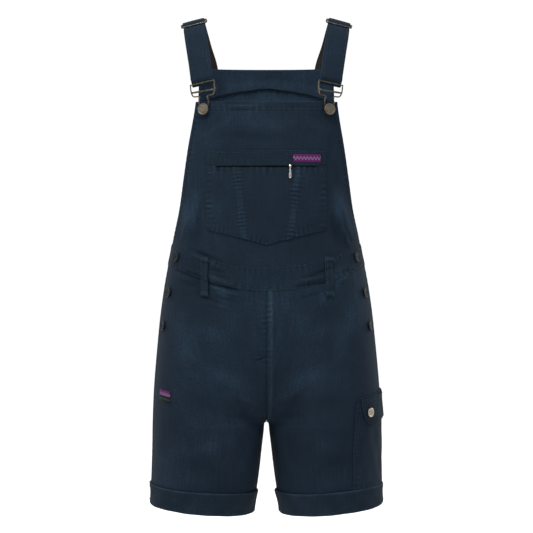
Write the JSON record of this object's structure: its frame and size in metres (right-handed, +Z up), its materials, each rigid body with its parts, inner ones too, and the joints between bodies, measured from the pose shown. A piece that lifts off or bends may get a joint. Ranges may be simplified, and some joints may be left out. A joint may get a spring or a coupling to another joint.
{
  "type": "shortalls",
  "caption": "Bib-and-brace shorts in navy twill, filled out and hollow, with buckled straps, a zipped bib pocket, side buttons, a flapped leg pocket and turned-up cuffs.",
  "frame": {"origin": "midway between the two strap crests, at the height of their undersides, where the wearer's shoulders carry the garment", "axes": "+Z up, -Y towards the front, +X towards the wearer's left"},
  "size_m": [0.394, 0.2373, 0.8363],
  "materials": {
    "twill": "navy cotton twill, piece dyed, soft matt",
    "webbing": "black-brown ribbed elastic webbing",
    "bronze": "antique bronze plate, brushed",
    "gunmetal": "dark gunmetal plate",
    "nickel": "satin nickel",
    "silver": "bright zinc alloy",
    "zip_tape": "woven tape with moulded coil teeth",
    "label_purple": "woven damask label, purple",
    "label_green": "woven damask label, very dark green"
  },
  "bodies": {
    "garment": {"front_leg_left": "twill", "back_leg_left": "twill", "front_leg_right": "twill", "back_leg_right": "twill", "front_waistband": "twill", "back_waistband": "twill", "bib": "twill", "back_panel_left": "twill", "back_panel_right": "twill", "back_facing": "twill", "cuff_left": "twill", "cuff_right": "twill", "bib_pocket": "twill", "bib_pocket_band": "twill", "zip_chain": "zip_tape", "bib_label": "label_purple", "zip_slider": "silver", "front_loop_left": "twill", "back_loop_left": "twill", "front_loop_right": "twill", "back_loop_right": "twill", "cargo_pocket": "twill", "cargo_flap": "twill", "side_label_upper": "label_purple", "side_label_lower": "label_green", "bib_button_left": "bronze", "side_button_left_1": "gunmetal", "side_button_left_2": "gunmetal", "side_button_left_3": "gunmetal", "bib_button_right": "bronze", "side_button_right_1": "gunmetal", "side_button_right_2": "gunmetal", "side_button_right_3": "gunmetal", "cargo_button": "nickel", "front_strap_left": "twill", "rear_strap_left": "webbing", "slider_left": "bronze", "buckle_left": "bronze", "front_strap_right": "twill", "rear_strap_right": "webbing", "slider_right": "bronze", "buckle_right": "bronze"},
    "zip_pull": {"zip_pull_tab": "silver"}
  },
  "joints": [
    {"name": "zip_pull_swing", "type": "hinge", "parent": "garment", "child": "zip_pull", "pos_m": [0.0385, -0.11309, -0.25395], "axis": [-1, 0, 0], "range_deg": [0, 150]}
  ]
}
